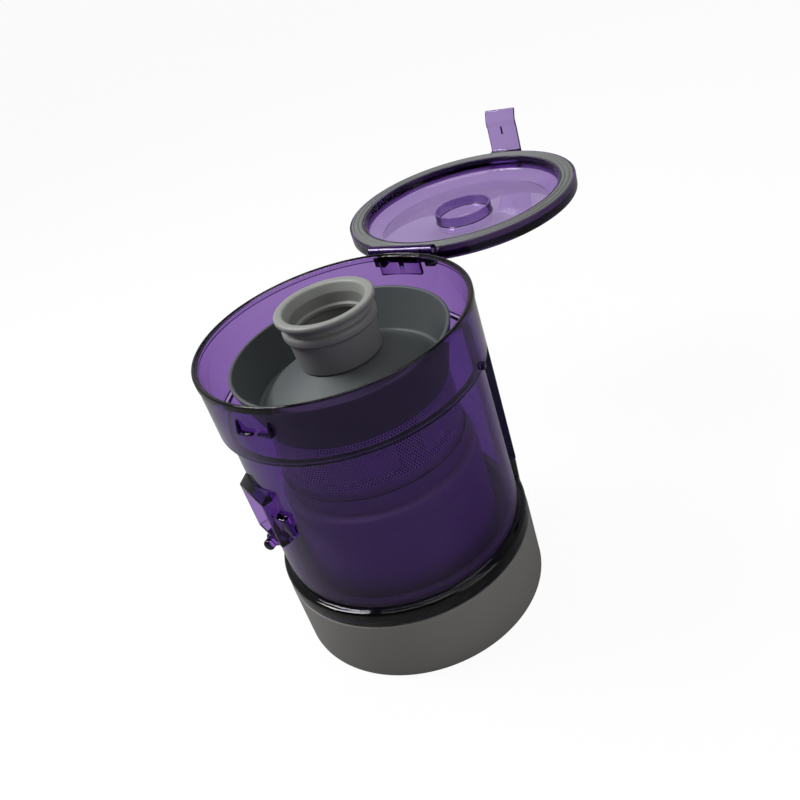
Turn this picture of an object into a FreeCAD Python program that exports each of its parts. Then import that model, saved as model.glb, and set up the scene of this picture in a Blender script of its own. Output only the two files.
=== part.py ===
# Cyclone dust bin: a clear dust cup standing mouth up on its grey filter base, with the round
# bottom door swung fully open on its hinge, and the cyclone, mesh shroud and filter inside.
# The frame: +Z up, z = 0 on the underside of the base, the bin's axis on Z, the hinge at +Y and
# the catch at -Y. Lengths are millimetres and angles are degrees about Z, counted from +X.

import FreeCAD, Part
import os
import Sketcher

Vector = FreeCAD.Vector
Rotation = FreeCAD.Rotation

SIZES = {
    # clear cup
    "cup_radius": 52.25, "cup_wall": 1.8, "cup_height": 108.6, "step_rise": 82.6,
    "mouth_step": 2.75, "bead_height": 3.0, "bead_depth": 0.4, "corner": 0.6,
    "flange_step": 2.75, "flange_height": 7.0, "flange_round": 1.6,
    # base housing
    "base_height": 30.0, "base_lip": 0.2, "base_wall": 2.0, "base_round": 1.5,
    "deck_thickness": 2.5, "outlet_radius": 20.0, "spigot_height": 10.0, "spigot_wall": 2.6,
    "spigot_gap": 0.2, "groove_rise": 4.0, "groove_height": 3.0, "groove_depth": 1.0,
    "chamber_inset": 9.0, "chamber_wall": 2.0, "chamber_depth": 19.5,
    # rail and tongue down the side
    "rail_angle": 46.0, "rail_width": 8.0, "rail_depth": 3.75, "tongue_rise": 16.0,
    "lug_angle": 10.0, "lug_size": 2.6, "lug_reach": 1.2, "lug_rise": 0.6,
    # rectangular inlet duct
    "inlet_angle": 244.0, "inlet_width": 21.0, "inlet_height": 22.5, "inlet_wall": 1.6,
    "inlet_rise": 49.75, "inlet_reach": 3.25, "inlet_slope": 3.0,
    "block_angle": 258.0, "block_width": 8.0, "block_height": 10.0, "block_drop": 0.75,
    "block_reach": 2.6,
    # locating peg below the inlet
    "peg_side": 26.8, "peg_radius": 2.4, "peg_length": 8.0, "peg_drop": 4.5,
    "peg_back": 8.65, "collar_radius": 3.4, "collar_length": 4.0,
    # catch on the cup
    "catch_width": 15.5, "catch_top": 6.4, "catch_bottom": 11.8, "catch_reach": 1.4,
    # hinge
    "hinge_reach": 3.2, "hinge_drop": 1.1, "barrel_radius": 2.6, "barrel_length": 20.0,
    "ear_length": 5.2, "ear_gap": 0.3, "pin_radius": 1.2, "pin_gap": 0.05,
    "pad_width": 20.7, "pad_reach": 0.9, "pad_depth": 10.0,
    # door and its seal
    "door_inset": 0.7, "door_edge": 1.0, "door_height": 6.6, "door_lift": 0.1,
    "seal_thickness": 2.8, "seal_width": 5.4, "dish_lip": 1.4, "dish_depth": 9.9,
    "dish_floor": 2.0, "bevel_width": 6.5, "bevel_depth": 6.6, "plug_radius": 13.5,
    "plug_wall": 1.0, "plug_height": 4.6, "seal_groove": 0.4, "groove_inset": 1.6,
    "groove_width": 0.8, "edge_drop": 0.3,
    # door tab
    "tab_width": 16.0, "tab_wall": 1.8, "tab_rise": 6.5, "hook_reach": 0.5,
    "hook_size": 1.5, "hook_gap": 0.2, "tab_lean": 1.4,
    # cyclone unit
    "body_inset": 10.25, "body_wall": 1.8, "body_height": 45.0, "body_top": 2.0,
    "finder_radius": 13.0, "finder_wall": 1.6, "finder_height": 22.0, "finder_edge": 5.0,
    "finder_plate": 2.0, "screen_inset": 3.7, "screen_wall": 1.8, "lip_reach": 1.1,
    "lip_rise": 5.0, "lip_height": 3.0, "screen_height": 33.0, "screen_ring": 2.5,
    "window_rise": 14.5, "window_width": 28.0, "window_count": 6.0,
    "mesh_wall": 0.5, "mesh_gap": 0.05, "mesh_slot": 1.8, "slot_pairs": 18.0,
    "cone_gap": 2.0, "cone_wall": 1.6, "cone_straight": 17.0, "cone_height": 28.5,
    "neck_radius": 15.7, "neck_height": 9.0, "slot_width": 9.0, "slot_height": 8.0,
    "skirt_flare": 5.7, "skirt_wall": 1.6, "skirt_height": 21.2,
    "floor_rise": 2.0, "crease_inset": 7.4, "crease_rise": 5.5, "cone_rise": 14.7, "fit_gap": 0.1,
    "boot_wall": 1.1, "throat_step": 1.7, "waist_step": 0.5, "bulge_depth": 1.3,
    "lip_depth": 2.6, "boot_height": 22.6, "bulge_rise": 12.4, "bulge_height": 3.0,
    "lip_thick": 2.6, "boot_step": 6.8,
    # screws
    "screw_radius": 1.5, "screw_head": 2.7, "head_height": 2.0, "screw_length": 9.0,
    "boss_radius": 3.2, "boss_height": 11.0, "boss_sink": 0.9, "finder_reach": 6.0,
    # filter under the deck
    "foam_height": 5.4, "filter_gap": 0.3, "frame_wall": 1.4, "pleat_height": 9.0,
    "filter_seal_height": 1.6, "grille_edge": 4.6, "grille_thickness": 2.0,
    "grille_hole": 5.0, "grille_holes": 8.0, "grille_circle": 24.0,
}

# sizes that follow from the others, so that the pieces keep fitting each other
FITS = {
    "mouth_radius": "cup_radius + mouth_step",
    "flange_radius": "cup_radius + flange_step",
    "rim_height": "base_height + cup_height",
    "step_height": "base_height + step_rise",
    "base_radius": "flange_radius + base_lip",
    "rail_radius": "cup_radius + rail_depth",
    "inlet_centre": "base_height + inlet_rise",
    "inlet_face": "cup_radius + inlet_reach",
    "block_centre": "inlet_centre - block_drop",
    "peg_height": "inlet_centre - inlet_height / 2 - peg_drop",
    "peg_start": "cup_radius - peg_back",
    "hinge_offset": "mouth_radius + hinge_reach",
    "hinge_height": "rim_height - hinge_drop",
    "door_radius": "mouth_radius - door_inset",
    "seal_inner": "door_radius - door_edge - seal_width",
    "groove_radius": "seal_inner + groove_inset",
    "dish_radius": "seal_inner - dish_lip",
    "bevel_radius": "dish_radius - bevel_width",
    "hook_height": "catch_bottom + hook_gap + door_lift",
    "hook_tip": "mouth_radius + catch_reach + hook_gap",
    "tab_radius": "hook_tip + hook_reach",
    "body_radius": "cup_radius - body_inset",
    "screen_radius": "body_radius - screen_inset",
    "lip_radius": "screen_radius + lip_reach",
    "cone_radius": "screen_radius - screen_wall - cone_gap",
    "skirt_foot": "screen_radius + 2 * mesh_gap + mesh_wall",
    "skirt_radius": "skirt_foot + skirt_flare",
    "boot_radius": "neck_radius + boot_wall",
    "boot_throat": "neck_radius - throat_step",
    "boot_waist": "boot_radius + waist_step",
    "boot_bulge": "boot_waist + bulge_depth",
    "boot_lip": "boot_waist + lip_depth",
    "chamber_radius": "body_radius - chamber_inset",
    "body_circle": "body_radius - body_wall - boss_radius + boss_sink",
    "finder_circle": "finder_radius + finder_reach",
    "finder_flange": "finder_circle + finder_edge",
    "grille_radius": "body_circle + grille_edge",
}

VALUES = dict(SIZES)


def number(text):
    """The value of a plain sum of sizes, used to draw a sketch before its sizes are bound."""
    total, sign, factor = 0.0, 1.0, 1.0
    term, operation = None, "*"
    for word in text.split():
        if word in ("+", "-"):
            total += sign * (term or 0.0)
            sign, term, operation = (1.0 if word == "+" else -1.0), None, "*"
        elif word in ("*", "/"):
            operation = word
        else:
            factor = VALUES[word] if word in VALUES else float(word)
            if term is None:
                term = factor
            else:
                term = term * factor if operation == "*" else term / factor
    return total + sign * (term or 0.0)


def bound(text):
    """The expression with each size name pointing at its cell."""
    return " ".join("sizes." + word if word in VALUES else word for word in text.split())


doc = FreeCAD.newDocument("cyclone_dust_bin")
sheet = doc.addObject("Spreadsheet::Sheet", "sizes")
for alias, text in FITS.items():
    VALUES[alias] = number(text)
for row, alias in enumerate(VALUES, start=1):
    cell = "A%d" % row
    sheet.set(cell, "=" + FITS[alias] if alias in FITS else str(SIZES[alias]))
    sheet.setAlias(cell, alias)
doc.recompute()


def plane(body, role):
    return next(item for item in body.Origin.OriginFeatures if item.Role == role)


def outline(body, name, points):
    """A closed outline in the XZ plane whose corners each stand at a named radius and height."""
    sketch = body.newObject("Sketcher::SketchObject", name)
    sketch.AttachmentSupport = (plane(body, "XZ_Plane"), "")
    sketch.MapMode = "FlatFace"
    corners = [Vector(number(radius), number(height), 0) for radius, height in points]
    last = len(corners) - 1
    for index, corner in enumerate(corners):
        following = corners[0 if index == last else index + 1]
        sketch.addGeometry(Part.LineSegment(corner, following), False)
    for index in range(len(corners)):
        following = 0 if index == last else index + 1
        sketch.addConstraint(Sketcher.Constraint("Coincident", index, 2, following, 1))
    for index, (radius, height) in enumerate(points):
        for kind, text, axis in (("DistanceX", radius, -2), ("DistanceY", height, -1)):
            if number(text) == 0:
                sketch.addConstraint(Sketcher.Constraint("PointOnObject", index, 1, axis))
            else:
                constraint = Sketcher.Constraint(kind, -1, 1, index, 1, number(text))
                added = sketch.addConstraint(constraint)
                sketch.setExpression("Constraints[%d]" % added, bound(text))
    return sketch


def place(item, at=("0", "0", "0"), angle=None):
    """Binds where an object stands and its turn about Z."""
    for letter, text in zip("xyz", at):
        if text != "0":
            item.setExpression("Placement.Base." + letter, bound(text))
    if angle is not None:
        item.setExpression("Placement.Rotation.Angle", bound(angle))


def turned(name, points, at=("0", "0", "0")):
    """A ring-shaped piece: its half section turned about Z."""
    body = doc.addObject("PartDesign::Body", name)
    sketch = outline(body, name + "_section", points)
    turn = body.newObject("PartDesign::Revolution", name + "_turn")
    turn.Profile = sketch
    turn.ReferenceAxis = (sketch, ["V_Axis"])
    turn.Angle = 360
    place(body, at)
    return body


def prism(name, angle, points, width, at=("0", "0", "0")):
    """A straight piece: an outline of radius and height, as wide to both sides, turned to an angle."""
    body = doc.addObject("PartDesign::Body", name)
    sketch = outline(body, name + "_outline", points)
    pad = body.newObject("PartDesign::Pad", name + "_pad")
    pad.Profile = sketch
    pad.Midplane = True
    pad.setExpression("Length", bound(width))
    place(body, at, angle)
    return body


def block(name, angle, radii, heights, width, at=("0", "0", "0")):
    """A prism with a rectangular outline."""
    inner, outer = radii
    bottom, top = heights
    points = [(inner, bottom), (outer, bottom), (outer, top), (inner, top)]
    return prism(name, angle, points, width, at)


def cylinder(name, radius, length, at, along=None):
    """A round bar from a point, upright or along X or -Y."""
    item = doc.addObject("Part::Cylinder", name)
    item.setExpression("Radius", bound(radius))
    item.setExpression("Height", bound(length))
    if along == "x":
        item.Placement.Rotation = Rotation(Vector(0, 1, 0), 90)
    if along == "-y":
        item.Placement.Rotation = Rotation(Vector(1, 0, 0), 90)
    place(item, at)
    return item


def round_the_axis(circle, angle, height):
    """The place at an angle on a circle about Z."""
    return ("%s * cos( %s * 1 deg )" % (circle, angle), "%s * sin( %s * 1 deg )" % (circle, angle),
            height)


def fused(name, items):
    item = doc.addObject("Part::MultiFuse", name)
    item.Shapes = items
    return item


def cut(name, base, items):
    """The base with the items taken out of it."""
    item = doc.addObject("Part::Cut", name)
    item.Base = base
    item.Tool = items[0] if len(items) == 1 else fused(name + "_tools", items)
    return item


INNER = "cup_radius - cup_wall"
DECK = "base_height"
BODY_TOP = "base_height + body_height"
SCREEN_TOP = BODY_TOP + " + screen_height"
FLOOR = SCREEN_TOP + " + floor_rise"
BOOT_FOOT = FLOOR + " + cone_rise"
DOOR_Y = "2 * hinge_offset"
# the door's seal plane, open: the closed plane mirrored in the hinge's axis
SEAL_Z = "2 * hinge_height - rim_height - door_lift"
SCREW_ANGLES = (90, 210, 330)
FILTER_ANGLES = (30, 150, 270)


def dust_cup():
    step = "step_height"
    rim = "rim_height"
    shell = turned("cup_shell", [
        (INNER, DECK),
        ("flange_radius", DECK),
        ("flange_radius", DECK + " + flange_height - flange_round"),
        ("flange_radius - flange_round", DECK + " + flange_height"),
        ("cup_radius", DECK + " + flange_height"),
        ("cup_radius", step),
        ("mouth_radius - corner", step),
        ("mouth_radius", step + " + corner"),
        ("mouth_radius", rim + " - bead_height"),
        ("mouth_radius + bead_depth", rim + " - bead_height"),
        ("mouth_radius + bead_depth", rim + " - corner"),
        ("mouth_radius + bead_depth - corner", rim),
        ("mouth_radius - cup_wall", rim),
        ("mouth_radius - cup_wall", step + " + cup_wall"),
        (INNER, step + " + cup_wall"),
    ])
    root = "mouth_radius - cup_wall / 2"
    pad = block("hinge_pad", "90", (root, "mouth_radius + pad_reach"),
                (rim + " - pad_depth", rim + " - bead_height"), "pad_width")
    web = prism("hinge_web", "90", [
        (root, rim + " - pad_depth"),
        ("hinge_offset", "hinge_height - barrel_radius"),
        ("hinge_offset", "hinge_height"),
        (root, "hinge_height"),
    ], "barrel_length")
    barrel = cylinder("hinge_barrel", "barrel_radius", "barrel_length",
                      ("0 - barrel_length / 2", "hinge_offset", "hinge_height"), "x")
    catch = prism("catch_wedge", "270", [
        (root, rim + " - catch_bottom"),
        ("mouth_radius + catch_reach", rim + " - catch_bottom"),
        ("mouth_radius", rim + " - catch_top"),
        (root, rim + " - catch_top"),
    ], "catch_width")
    tongue_top = DECK + " + tongue_rise"
    rail = block("side_rail", "rail_angle", ("cup_radius - cup_wall / 2", "rail_radius"),
                 (tongue_top, step + " + corner"), "rail_width")
    lug = block("side_lug", "lug_angle", (root, "mouth_radius + lug_reach"),
                (step + " + lug_rise", step + " + lug_rise + lug_size"), "lug_size")
    low = "inlet_centre - inlet_height / 2"
    high = "inlet_centre + inlet_height / 2"
    duct = prism("inlet_duct", "inlet_angle", [
        ("cup_radius - cup_wall", low),
        ("inlet_face", low),
        ("inlet_face", high),
        ("cup_radius - cup_wall / 2", high + " + inlet_slope"),
        ("cup_radius - cup_wall", high + " + inlet_slope"),
    ], "inlet_width")
    side_block = prism("side_block", "block_angle", [
        ("cup_radius - cup_wall / 2", "block_centre - block_height / 2"),
        ("cup_radius + block_reach / 2", "block_centre - block_height / 2"),
        ("cup_radius + block_reach", "block_centre + block_height / 2"),
        ("cup_radius - cup_wall / 2", "block_centre + block_height / 2"),
    ], "block_width")
    peg = cylinder("locating_peg", "peg_radius", "peg_length",
                   ("0 - peg_side", "0 - peg_start", "peg_height"), "-y")
    collar = cylinder("peg_collar", "collar_radius", "collar_length",
                      ("0 - peg_side", "0 - peg_start", "peg_height"), "-y")
    # the peg and its collar end inside the cup's wall
    inside = cylinder("cup_inside", "cup_radius - cup_wall / 2", "4 * collar_radius",
                      ("0", "0", "peg_height - 2 * collar_radius"))
    peg = cut("peg_outside", fused("peg_solid", [peg, collar]), [inside])
    solid = fused("cup_solid", [shell, pad, web, barrel, catch, rail, lug, duct, side_block, peg])
    passage = block("inlet_passage", "inlet_angle",
                    ("cup_radius - 6 * cup_wall", "inlet_face + cup_wall"),
                    (low + " + inlet_wall", high + " - inlet_wall"),
                    "inlet_width - 2 * inlet_wall")
    bore = cylinder("barrel_bore", "pin_radius", "barrel_length + 2 * ear_gap",
                    ("0 - barrel_length / 2 - ear_gap", "hinge_offset", "hinge_height"), "x")
    notch = block("tongue_notch", "rail_angle", ("cup_radius + spigot_gap", "flange_radius + cup_wall"),
                  (DECK, DECK + " + flange_height + cup_wall"), "rail_width + 2 * spigot_gap")
    return cut("dust_cup", solid, [passage, bore, notch])


def door():
    home = ("0", DOOR_Y, "0")
    top = SEAL_Z
    dish = turned("door_dish", [
        ("0", top + " - dish_depth - dish_floor"),
        ("bevel_radius + dish_floor", top + " - dish_depth - dish_floor"),
        ("dish_radius + dish_floor", top + " - bevel_depth - dish_floor"),
        ("dish_radius + dish_floor", top + " - door_height"),
        ("door_radius - corner", top + " - door_height"),
        ("door_radius", top + " - door_height + corner"),
        ("door_radius", top + " - edge_drop"),
        ("door_radius - door_edge", top + " - edge_drop"),
        ("door_radius - door_edge", top + " - seal_thickness"),
        ("seal_inner", top + " - seal_thickness"),
        ("seal_inner", top + " - edge_drop"),
        ("dish_radius", top + " - edge_drop"),
        ("dish_radius", top + " - bevel_depth"),
        ("bevel_radius", top + " - dish_depth"),
        ("plug_radius", top + " - dish_depth"),
        ("plug_radius", top + " - dish_depth + plug_height"),
        ("plug_radius - plug_wall", top + " - dish_depth + plug_height"),
        ("plug_radius - plug_wall", top + " - dish_depth"),
        ("0", top + " - dish_depth"),
    ], home)
    ears = []
    for side, start in (("left", "0 - barrel_length / 2 - ear_gap - ear_length"),
                        ("right", "barrel_length / 2 + ear_gap")):
        ears.append(cylinder("ear_" + side, "barrel_radius", "ear_length",
                             (start, "hinge_offset", "hinge_height"), "x"))
        arm = doc.addObject("Part::Box", "arm_" + side)
        arm.setExpression("Length", bound("ear_length"))
        arm.setExpression("Width", bound("hinge_offset - door_radius + 2 * door_edge"))
        arm.setExpression("Height", bound("door_height - edge_drop - corner"))
        place(arm, (start, "hinge_offset", top + " - door_height + corner"))
        ears.append(arm)
    outer = "tab_radius"
    hook = top + " + hook_height"
    tip = hook + " + hook_size + tab_rise"
    tab = prism("door_tab", "90", [
        ("door_radius - door_edge", top + " - door_height + corner"),
        (outer, top + " - door_height + corner"),
        (outer + " + tab_wall", top + " - door_height + tab_wall"),
        (outer + " + tab_wall", hook + " + hook_size"),
        (outer + " + tab_wall + tab_lean", tip),
        (outer + " + tab_lean", tip),
        (outer, hook + " + hook_size"),
        ("hook_tip", hook + " + hook_size"),
        ("hook_tip", hook),
        (outer, hook),
        (outer, top + " - edge_drop"),
        ("door_radius - door_edge", top + " - edge_drop"),
    ], "tab_width", home)
    solid = fused("door_solid", [dish, tab] + ears)
    span = "barrel_length + 2 * ear_gap + 2 * ear_length"
    bore = cylinder("ear_bore", "pin_radius + pin_gap", span + " + 2 * ear_gap",
                    ("0 - barrel_length / 2 - 2 * ear_gap - ear_length", "hinge_offset", "hinge_height"), "x")
    return cut("door", solid, [bore])


def door_seal():
    top = SEAL_Z
    return turned("door_seal", [
        ("seal_inner", top + " - seal_thickness"),
        ("door_radius - door_edge", top + " - seal_thickness"),
        ("door_radius - door_edge", top),
        ("groove_radius + groove_width", top),
        ("groove_radius + groove_width", top + " - seal_groove"),
        ("groove_radius", top + " - seal_groove"),
        ("groove_radius", top),
        ("seal_inner", top),
    ], ("0", DOOR_Y, "0"))


def hinge_pin():
    span = "barrel_length + 2 * ear_gap + 2 * ear_length"
    return cylinder("hinge_pin", "pin_radius", span,
                    ("0 - barrel_length / 2 - ear_gap - ear_length", "hinge_offset", "hinge_height"), "x")


def base_housing():
    under = DECK + " - deck_thickness"
    wall_end = under + " - chamber_depth"
    spigot = INNER + " - spigot_gap"
    shell = turned("base_shell", [
        ("outlet_radius", under),
        ("chamber_radius", under),
        ("chamber_radius", wall_end),
        ("chamber_radius + chamber_wall", wall_end),
        ("chamber_radius + chamber_wall", under),
        ("base_radius - base_wall", under),
        ("base_radius - base_wall", "0"),
        ("base_radius - base_round", "0"),
        ("base_radius", "base_round"),
        ("base_radius", DECK),
        (spigot, DECK),
        (spigot, DECK + " + groove_rise"),
        (spigot + " - groove_depth", DECK + " + groove_rise"),
        (spigot + " - groove_depth", DECK + " + groove_rise + groove_height"),
        (spigot, DECK + " + groove_rise + groove_height"),
        (spigot, DECK + " + spigot_height"),
        (spigot + " - spigot_wall", DECK + " + spigot_height"),
        (spigot + " - spigot_wall", DECK),
        ("outlet_radius", DECK),
    ])
    tongue = block("base_tongue", "rail_angle", ("cup_radius + 2 * spigot_gap", "rail_radius - spigot_gap"),
                   (DECK + " - corner", DECK + " + tongue_rise"), "rail_width")
    bosses = [cylinder("grille_boss_%d" % angle, "boss_radius", "chamber_depth",
                       round_the_axis("body_circle", angle, wall_end)) for angle in FILTER_ANGLES]
    bores = [cylinder("grille_bore_%d" % angle, "screw_radius", "screw_length",
                      round_the_axis("body_circle", angle, wall_end)) for angle in FILTER_ANGLES]
    bores += [cylinder("deck_bore_%d" % angle, "screw_radius", "deck_thickness",
                       round_the_axis("body_circle", angle, under)) for angle in SCREW_ANGLES]
    return cut("base_housing", fused("base_solid", [shell, tongue] + bosses), bores)


def cup_seal():
    spigot = INNER + " - spigot_gap"
    low = DECK + " + groove_rise"
    return turned("cup_seal", [
        (spigot + " - groove_depth", low),
        (INNER + " - spigot_gap / 2", low),
        (INNER + " - spigot_gap / 2", low + " + groove_height"),
        (spigot + " - groove_depth", low + " + groove_height"),
    ])


def cyclone_body():
    shell = turned("body_shell", [
        ("body_radius - body_wall", DECK),
        ("body_radius", DECK),
        ("body_radius", BODY_TOP),
        ("finder_radius + fit_gap", BODY_TOP),
        ("finder_radius + fit_gap", BODY_TOP + " - body_top"),
        ("body_radius - body_wall", BODY_TOP + " - body_top"),
    ])
    bosses = [cylinder("body_boss_%d" % angle, "boss_radius", "boss_height",
                       round_the_axis("body_circle", angle, DECK)) for angle in SCREW_ANGLES]
    high = BODY_TOP + " - body_top - boss_height + corner"
    bosses += [cylinder("finder_boss_%d" % angle, "boss_radius", "boss_height",
                        round_the_axis("finder_circle", angle, high)) for angle in SCREW_ANGLES]
    bores = [cylinder("body_bore_%d" % angle, "screw_radius", "screw_length",
                      round_the_axis("body_circle", angle, DECK)) for angle in SCREW_ANGLES]
    bores += [cylinder("finder_bore_%d" % angle, "screw_radius", "screw_length",
                       round_the_axis("finder_circle", angle, BODY_TOP + " - screw_length"))
              for angle in SCREW_ANGLES]
    return cut("cyclone_body", fused("body_solid", [shell] + bosses), bores)


def vortex_finder():
    flange_top = BODY_TOP + " + finder_plate"
    tube = turned("finder_tube", [
        ("finder_radius - finder_wall", BODY_TOP + " - body_top"),
        ("finder_radius", BODY_TOP + " - body_top"),
        ("finder_radius", BODY_TOP),
        ("finder_flange", BODY_TOP),
        ("finder_flange", flange_top),
        ("finder_radius", flange_top),
        ("finder_radius", BODY_TOP + " + finder_height"),
        ("finder_radius - finder_wall", BODY_TOP + " + finder_height"),
    ])
    bores = [cylinder("flange_bore_%d" % angle, "screw_radius", "finder_plate",
                      round_the_axis("finder_circle", angle, BODY_TOP)) for angle in SCREW_ANGLES]
    return cut("vortex_finder", tube, bores)


def screws(name, circle, angles, seat, upright):
    """Three screws on a circle, each with its head on the seat and its shank through it."""
    pieces = []
    for angle in angles:
        head_from = seat if upright else seat + " - head_height"
        shank_from = seat + " - screw_length" if upright else seat
        pieces.append(cylinder("%s_head_%d" % (name, angle), "screw_head", "head_height",
                               round_the_axis(circle, angle, head_from)))
        pieces.append(cylinder("%s_shank_%d" % (name, angle), "screw_radius", "screw_length",
                               round_the_axis(circle, angle, shank_from)))
    return fused(name, pieces)


def screen_frame():
    inner = "screen_radius - screen_wall"
    lip = BODY_TOP + " + lip_rise"
    shell = turned("frame_shell", [
        (inner, BODY_TOP),
        ("screen_radius", BODY_TOP),
        ("screen_radius", lip),
        ("lip_radius", lip),
        ("lip_radius", lip + " + lip_height"),
        ("screen_radius", lip + " + lip_height"),
        ("screen_radius", SCREEN_TOP),
        (inner, SCREEN_TOP),
    ])
    count = int(SIZES["window_count"])
    windows = [block("window_%d" % index, "%d * 360 / window_count" % index,
                     ("screen_radius / 2", "screen_radius + screen_wall"),
                     (BODY_TOP + " + window_rise", SCREEN_TOP + " - screen_ring"), "window_width")
               for index in range(count)]
    return cut("screen_frame", shell, windows)


def mesh_screen():
    inner = "screen_radius + mesh_gap"
    low = BODY_TOP + " + lip_rise + lip_height"
    sleeve = turned("mesh_sleeve", [
        (inner, low),
        (inner + " + mesh_wall", low),
        (inner + " + mesh_wall", SCREEN_TOP),
        (inner, SCREEN_TOP),
    ])
    count = int(SIZES["slot_pairs"])
    slots = []
    for index in range(count):
        slot = doc.addObject("Part::Box", "mesh_slot_%d" % index)
        slot.setExpression("Length", bound("2 * screen_radius + 4 * mesh_wall"))
        slot.setExpression("Width", bound("mesh_slot"))
        slot.setExpression("Height", bound("screen_height - window_rise - screen_ring"))
        turn = "%d * 180 / slot_pairs" % index
        reach, half = "0 - ( screen_radius + 2 * mesh_wall )", "mesh_slot / 2"
        along, across = "cos( %s * 1 deg )" % turn, "sin( %s * 1 deg )" % turn
        place(slot, ("( %s ) * %s + %s * %s" % (reach, along, half, across),
                     "( %s ) * %s - %s * %s" % (reach, across, half, along),
                     BODY_TOP + " + window_rise"), turn)
        slots.append(slot)
    return cut("mesh_screen", sleeve, slots)


def cyclone_cone():
    bend = BODY_TOP + " + cone_straight"
    neck = bend + " + cone_height"
    inner = "cone_radius - cone_wall"
    shell = turned("cone_shell", [
        (inner, BODY_TOP),
        ("cone_radius", BODY_TOP),
        ("cone_radius", bend),
        ("neck_radius", neck),
        ("neck_radius", neck + " + neck_height"),
        ("neck_radius - cone_wall", neck + " + neck_height"),
        ("neck_radius - cone_wall", neck),
        (inner, bend),
    ])
    slot_low = BODY_TOP + " + cone_straight - slot_height - cone_wall"
    slots = [block("cone_slot_%d" % angle, str(angle), ("cone_radius / 2", "cone_radius + cone_wall"),
                   (slot_low, slot_low + " + slot_height"), "slot_width") for angle in (0, 180)]
    return cut("cyclone_cone", shell, slots)


def shroud_skirt():
    top = SCREEN_TOP + " + skirt_height"
    hole = "neck_radius + fit_gap"
    return turned("shroud_skirt", [
        (hole, BOOT_FOOT + " - skirt_wall"),
        ("skirt_foot - crease_inset", FLOOR + " + crease_rise - skirt_wall"),
        ("skirt_foot - 1.5 * skirt_wall", FLOOR + " - skirt_wall"),
        ("skirt_foot - skirt_wall", SCREEN_TOP),
        ("skirt_foot", SCREEN_TOP),
        ("skirt_radius", top),
        ("skirt_radius - skirt_wall", top),
        ("skirt_foot - skirt_wall / 2", FLOOR),
        ("skirt_foot - crease_inset", FLOOR + " + crease_rise"),
        (hole, BOOT_FOOT),
    ])


def cone_boot():
    foot = BOOT_FOOT
    top = foot + " + boot_height"
    bulge = foot + " + bulge_rise"
    step = foot + " + boot_step"
    return turned("cone_boot", [
        ("neck_radius + fit_gap", foot),
        ("boot_radius", foot),
        ("boot_waist", bulge),
        ("boot_bulge", bulge + " + corner"),
        ("boot_bulge", bulge + " + bulge_height"),
        ("boot_waist", bulge + " + bulge_height + corner"),
        ("boot_waist", top + " - lip_thick - corner"),
        ("boot_lip", top + " - lip_thick"),
        ("boot_lip", top + " - corner"),
        ("boot_lip - corner", top),
        ("boot_lip - 2 * corner", top),
        ("boot_throat", top + " - 2 * lip_thick"),
        ("boot_throat", step),
        ("neck_radius + fit_gap", step),
    ])


def filter_foam():
    top = DECK + " - deck_thickness"
    return turned("filter_foam", [
        ("0", top + " - foam_height"),
        ("chamber_radius - filter_gap", top + " - foam_height"),
        ("chamber_radius - filter_gap", top),
        ("0", top),
    ])


def filter_frame():
    top = DECK + " - deck_thickness - foam_height"
    low = DECK + " - deck_thickness - chamber_depth"
    outer = "chamber_radius - filter_gap"
    return turned("filter_frame", [
        (outer + " - 2 * frame_wall", low),
        (outer, low),
        (outer, top),
        (outer + " - frame_wall", top),
        (outer + " - frame_wall", low + " + frame_wall"),
        (outer + " - 2 * frame_wall", low + " + frame_wall"),
    ])


def filter_pleats():
    low = DECK + " - deck_thickness - chamber_depth + frame_wall"
    outer = "chamber_radius - filter_gap - frame_wall"
    return turned("filter_pleats", [
        ("0", low),
        (outer, low),
        (outer, low + " + pleat_height"),
        ("0", low + " + pleat_height"),
    ])


def filter_seal():
    top = DECK + " - deck_thickness - chamber_depth"
    outer = "chamber_radius + chamber_wall - filter_gap"
    return turned("filter_seal", [
        ("chamber_radius - chamber_wall", top + " - filter_seal_height"),
        (outer, top + " - filter_seal_height"),
        (outer, top),
        ("chamber_radius - chamber_wall", top),
    ])


def filter_grille():
    top = DECK + " - deck_thickness - chamber_depth - filter_seal_height"
    plate = turned("grille_plate", [
        ("0", top + " - grille_thickness"),
        ("grille_radius", top + " - grille_thickness"),
        ("grille_radius", top + " + filter_seal_height"),
        ("grille_radius - boss_radius * 2", top + " + filter_seal_height"),
        ("grille_radius - boss_radius * 2", top),
        ("0", top),
    ])
    low = top + " - grille_thickness"
    count = int(SIZES["grille_holes"])
    holes = [cylinder("grille_hole_%d" % index, "grille_hole", "grille_thickness",
                      round_the_axis("grille_circle", "%d * 360 / grille_holes" % index, low))
             for index in range(count)]
    holes.append(cylinder("grille_centre", "grille_circle / 2", "grille_thickness", ("0", "0", low)))
    holes += [cylinder("grille_pass_%d" % angle, "screw_radius",
                       "grille_thickness + filter_seal_height",
                       round_the_axis("body_circle", angle, low)) for angle in FILTER_ANGLES]
    return cut("filter_grille", plate, holes)


UNDER_DECK = DECK + " - deck_thickness"
GRILLE_LOW = UNDER_DECK + " - chamber_depth - filter_seal_height - grille_thickness"
nodes = [
    dust_cup(), door(), door_seal(), hinge_pin(), base_housing(), cup_seal(), cyclone_body(),
    vortex_finder(), screen_frame(), mesh_screen(), cyclone_cone(), shroud_skirt(), cone_boot(),
    filter_foam(), filter_frame(), filter_pleats(), filter_seal(), filter_grille(),
    screws("finder_screws", "finder_circle", SCREW_ANGLES, BODY_TOP + " + finder_plate", True),
    screws("base_screws", "body_circle", SCREW_ANGLES, UNDER_DECK, False),
    screws("grille_screws", "body_circle", FILTER_ANGLES, GRILLE_LOW, False),
]
doc.recompute()

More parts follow.
